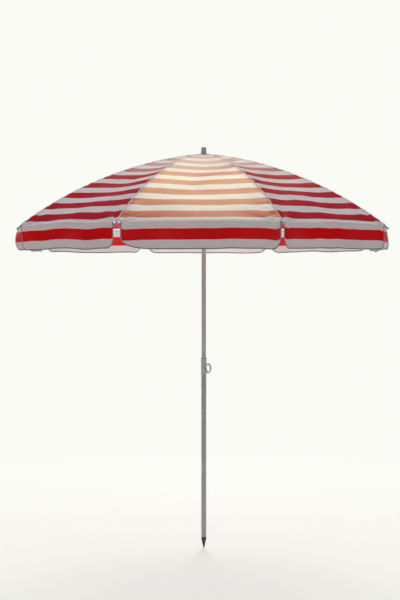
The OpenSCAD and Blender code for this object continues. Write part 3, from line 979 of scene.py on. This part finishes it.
for k in range(1, RIBS + 1):
    for piece, body in ((gores[k], f"gore_{k}"), (gore_trims[k], f"gore_{k}"),
                        (flaps[k], f"flap_{k}"), (bindings[k], f"flap_{k}")):
        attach(piece, body)
        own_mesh(piece)
    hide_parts(f"gore_{k}")
    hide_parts(f"flap_{k}")
    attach(ties[k], f"rib_{k}")
print("declared", len(gores), "gores and", len(flaps), "flaps")

# %% [markdown]
# ## Light, ground and camera
# The umbrella stands on a pale floor that fades into a pale surrounding, so no horizon shows. The
# main light is a broad panel high behind the canopy, which shines through the far valance. A
# second panel, higher up, is narrower and warmer and is seen only as a reflection: it
# glances off the front gore and makes the satin flare. The surrounding gives the rest, a soft
# light from all sides, and a small cool panel lifts the shade in front a little.

# %% Surrounding
PALE = (0.956, 0.965, 0.921, 1)
world = bpy.data.worlds.new("pale_surrounding")
bpy.context.scene.world = world
world.use_nodes = True
sky = world.node_tree
sky.nodes.clear()
seen = add_node(sky, "ShaderNodeBackground", {"Color": PALE, "Strength": 1.0})
ray = add_node(sky, "ShaderNodeLightPath").outputs
# the cloth mirrors a darker surrounding than the one that lights it, so its colour stays deep
strength = calc(sky, "MULTIPLY_ADD", ray["Is Glossy Ray"], -0.39, 0.40)
light = add_node(sky, "ShaderNodeBackground", {"Color": (0.95, 0.96, 1.0, 1),
                                               "Strength": strength})
either = add_node(sky, "ShaderNodeMixShader", {0: ray["Is Camera Ray"], 1: light.outputs[0],
                                               2: seen.outputs[0]})
put(sky, add_node(sky, "ShaderNodeOutputWorld").inputs["Surface"], either.outputs[0])

print("surrounding:", world.name)

# %% Floor
floor_mesh = bpy.data.meshes.new("floor")
FLOOR_R, FLOOR_SIDES = 60.0, 96
floor_ring = [(FLOOR_R * math.cos(math.tau * n / FLOOR_SIDES),
               FLOOR_R * math.sin(math.tau * n / FLOOR_SIDES), -0.0005) for n in range(FLOOR_SIDES)]
floor_mesh.from_pydata(floor_ring, [], [tuple(range(FLOOR_SIDES))])
floor = bpy.data.objects.new("floor", floor_mesh)
bpy.context.scene.collection.objects.link(floor)
floor_paint, tree, shader = new_material("pale_floor")
shader.inputs["Base Color"].default_value = (0.8, 0.8, 0.78, 1)
shader.inputs["Roughness"].default_value = 0.9
shader.inputs["Specular IOR Level"].default_value = 0.1
from_pole = add_node(tree, "ShaderNodeVectorMath", {0: object_place(tree)}, operation="LENGTH")
far = add_node(tree, "ShaderNodeMapRange", {"Value": from_pole.outputs["Value"], "From Min": 0.2,
                                            "From Max": 3.0, "To Min": 0.55, "To Max": 1.0})
camera_ray = add_node(tree, "ShaderNodeLightPath").outputs["Is Camera Ray"]
fade = add_node(tree, "ShaderNodeEmission", {"Color": PALE, "Strength": 1.0})
ground = add_node(tree, "ShaderNodeMixShader",
                  {0: calc(tree, "MULTIPLY", far.outputs[0], camera_ray), 1: shader.outputs[0],
                   2: fade.outputs[0]})
put(tree, next(n for n in tree.nodes if n.type == "OUTPUT_MATERIAL").inputs["Surface"],
    ground.outputs[0])
floor_mesh.materials.append(floor_paint)
print("floor:", 2 * FLOOR_R, "m across")

# %% Lamps
def add_panel(name, place, aim, wide, tall, power, colour):
    lamp = bpy.data.lights.new(name, "AREA")
    lamp.shape = "RECTANGLE"
    lamp.size = wide
    lamp.size_y = tall
    lamp.energy = power
    lamp.color = colour
    panel = bpy.data.objects.new(name, lamp)
    panel.location = place
    panel.rotation_euler = (Vector(aim) - Vector(place)).to_track_quat("-Z", "Y").to_euler()
    panel.visible_camera = False
    bpy.context.scene.collection.objects.link(panel)
    return panel


CANOPY_MIDDLE = (0, 0, 1.7)
sun = add_panel("sun_panel", (0.2, 7.2, 7.0), CANOPY_MIDDLE, 3.6, 6.0, 1100, (1.0, 0.95, 0.91))
sun.visible_glossy = False
shine = add_panel("shine_panel", (0.1, 3.1, 8.9), CANOPY_MIDDLE, 1.5, 6.2, 480, (0.94, 0.86, 0.50))
shine.visible_diffuse = False
shine.visible_transmission = False
fill = add_panel("front_fill", (-3.5, -6.0, 3.4), (0, 0, 1.6), 3.0, 3.0, 8, (0.95, 0.97, 1.0))
print("lamps:", [(panel.name, panel.data.energy) for panel in (sun, shine, fill)])

# %% Camera
LENS, CAMERA_AWAY, CAMERA_BELOW_APEX = 71.34, 5.901, 0.5586
camera_data = bpy.data.cameras.new("camera")
camera_data.lens = LENS
camera_data.sensor_width = 36
camera_data.shift_x = -0.0063
camera_data.shift_y = -0.0562
camera = bpy.data.objects.new("camera", camera_data)
camera.location = (0, -CAMERA_AWAY, APEX_Z - CAMERA_BELOW_APEX)
camera.rotation_euler = (math.pi / 2, 0, 0)
bpy.context.scene.collection.objects.link(camera)
bpy.context.scene.camera = camera
bpy.context.scene.view_settings.view_transform = "Standard"
print("camera:", [round(c, 3) for c in camera.location], "lens", LENS)
